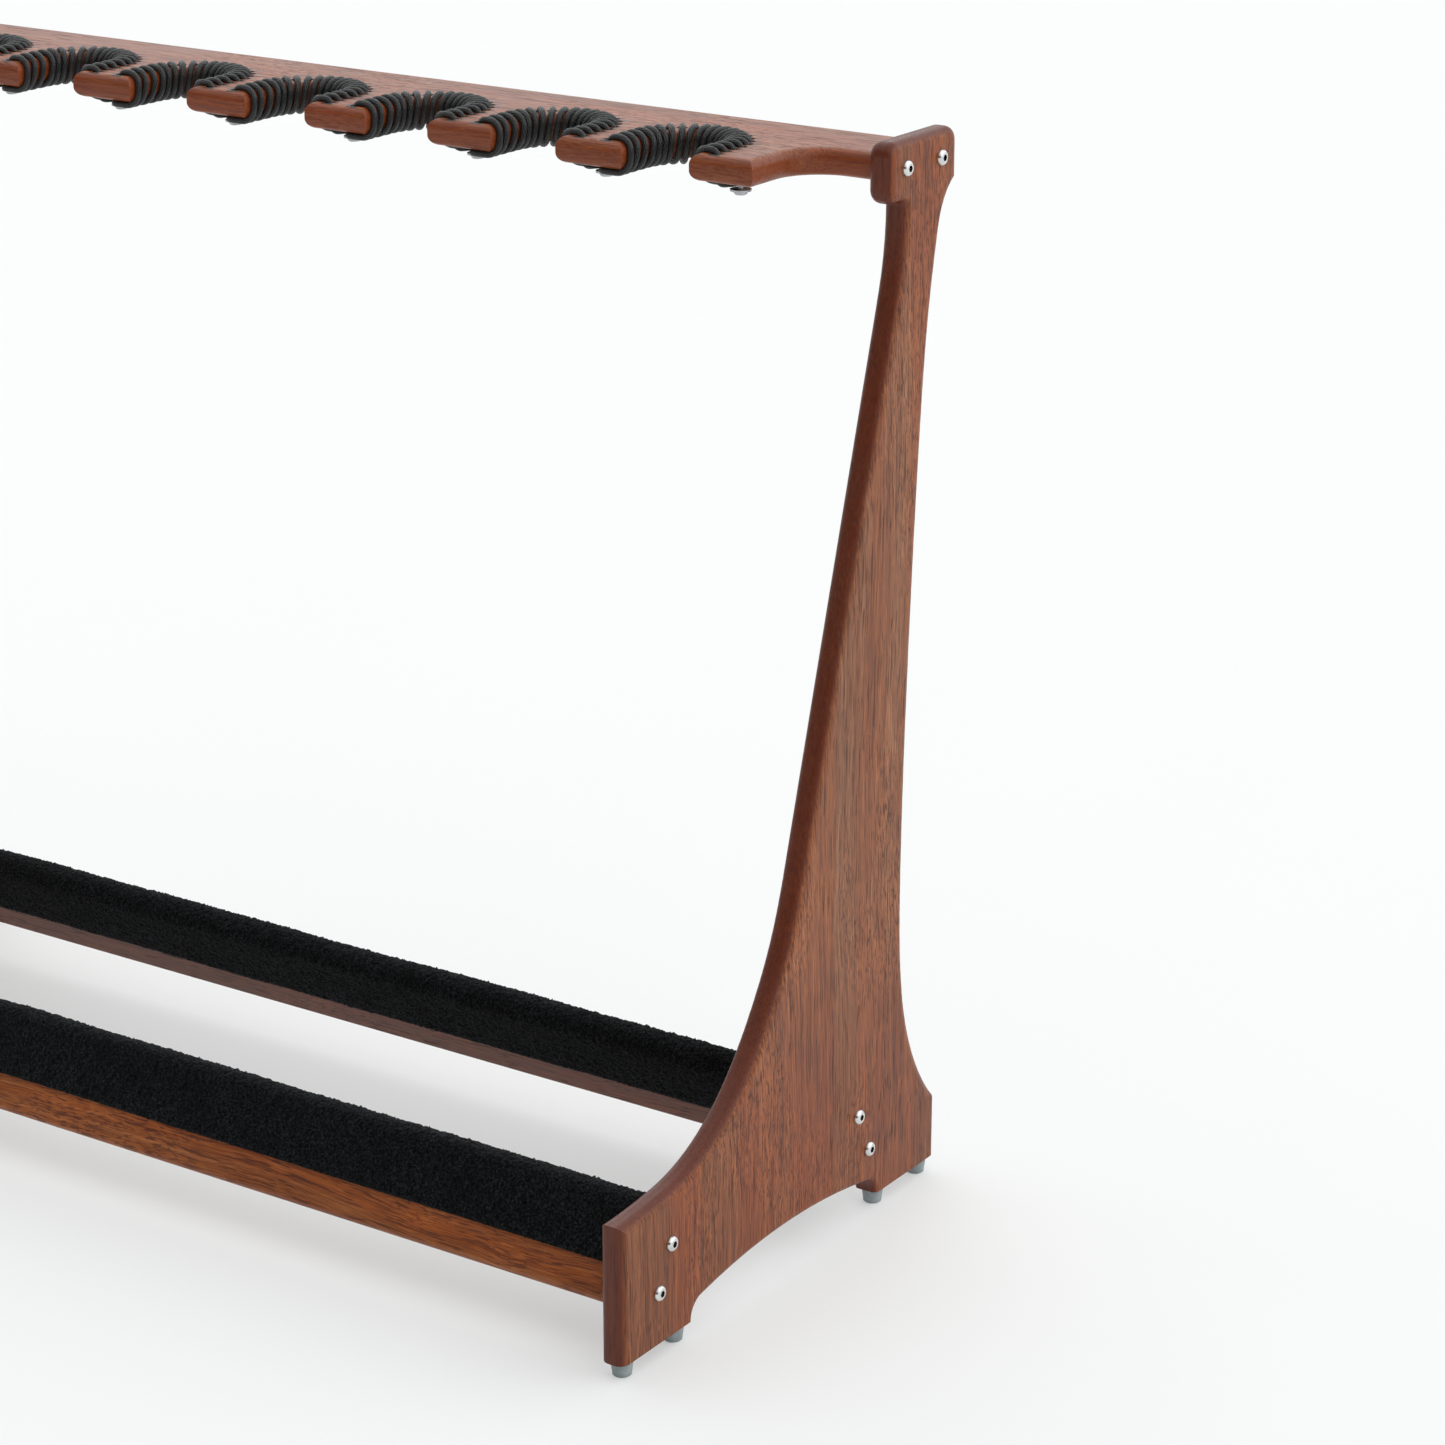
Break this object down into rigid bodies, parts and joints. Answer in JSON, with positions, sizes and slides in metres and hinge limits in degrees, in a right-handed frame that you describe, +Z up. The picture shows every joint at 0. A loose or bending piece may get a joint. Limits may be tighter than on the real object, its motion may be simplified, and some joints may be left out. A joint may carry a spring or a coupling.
{
  "type": "guitar rack",
  "caption": "Floor rack that holds guitars upright side by side: two shaped wooden end panels, a notched neck board with cord-wrapped notches, and two leaning plush-covered rails.",
  "frame": {"origin": "on the floor, at the middle of the rack's length and depth", "axes": "+X along the rack, to the right as seen by someone facing it; +Y to the back, where the neck board's closed edge is; +Z up"},
  "size_m": [0.9126, 0.3816, 0.733],
  "materials": {
    "wood_panel": "satin oiled reddish-brown hardwood, upright grain",
    "wood_board": "satin oiled reddish-brown hardwood, grain along the board",
    "wood_rail": "satin oiled reddish-brown hardwood, grain along the rail",
    "foam": "soft open-cell foam, hidden under the plush",
    "plush": "short dense black pile",
    "neck_cord": "braided black elastic cord",
    "bolt_steel": "bright stainless steel",
    "insert_brass": "plain brass",
    "foot_rubber": "matt grey rubber",
    "screw_steel": "plain zinc-plated steel"
  },
  "bodies": {
    "root": {"end_panel_right": "wood_panel", "end_panel_left": "wood_panel", "neck_board": "wood_board", "front_rail": "wood_rail", "rear_rail": "wood_rail", "front_rail_foam": "foam", "rear_rail_foam": "foam", "front_rail_plush": "plush", "rear_rail_plush": "plush", "neck_board_bolts": "bolt_steel", "front_rail_bolts": "bolt_steel", "rear_rail_bolts": "bolt_steel", "neck_board_inserts": "insert_brass", "front_rail_inserts": "insert_brass", "rear_rail_inserts": "insert_brass", "feet_right": "foot_rubber", "feet_left": "foot_rubber", "foot_screws": "screw_steel", "cord_clamp_washers": "screw_steel", "cord_clamp_screws": "screw_steel", "neck_cord_1": "neck_cord", "neck_cord_2": "neck_cord", "neck_cord_3": "neck_cord", "neck_cord_4": "neck_cord", "neck_cord_5": "neck_cord", "neck_cord_6": "neck_cord", "neck_cord_7": "neck_cord"}
  },
  "joints": []
}
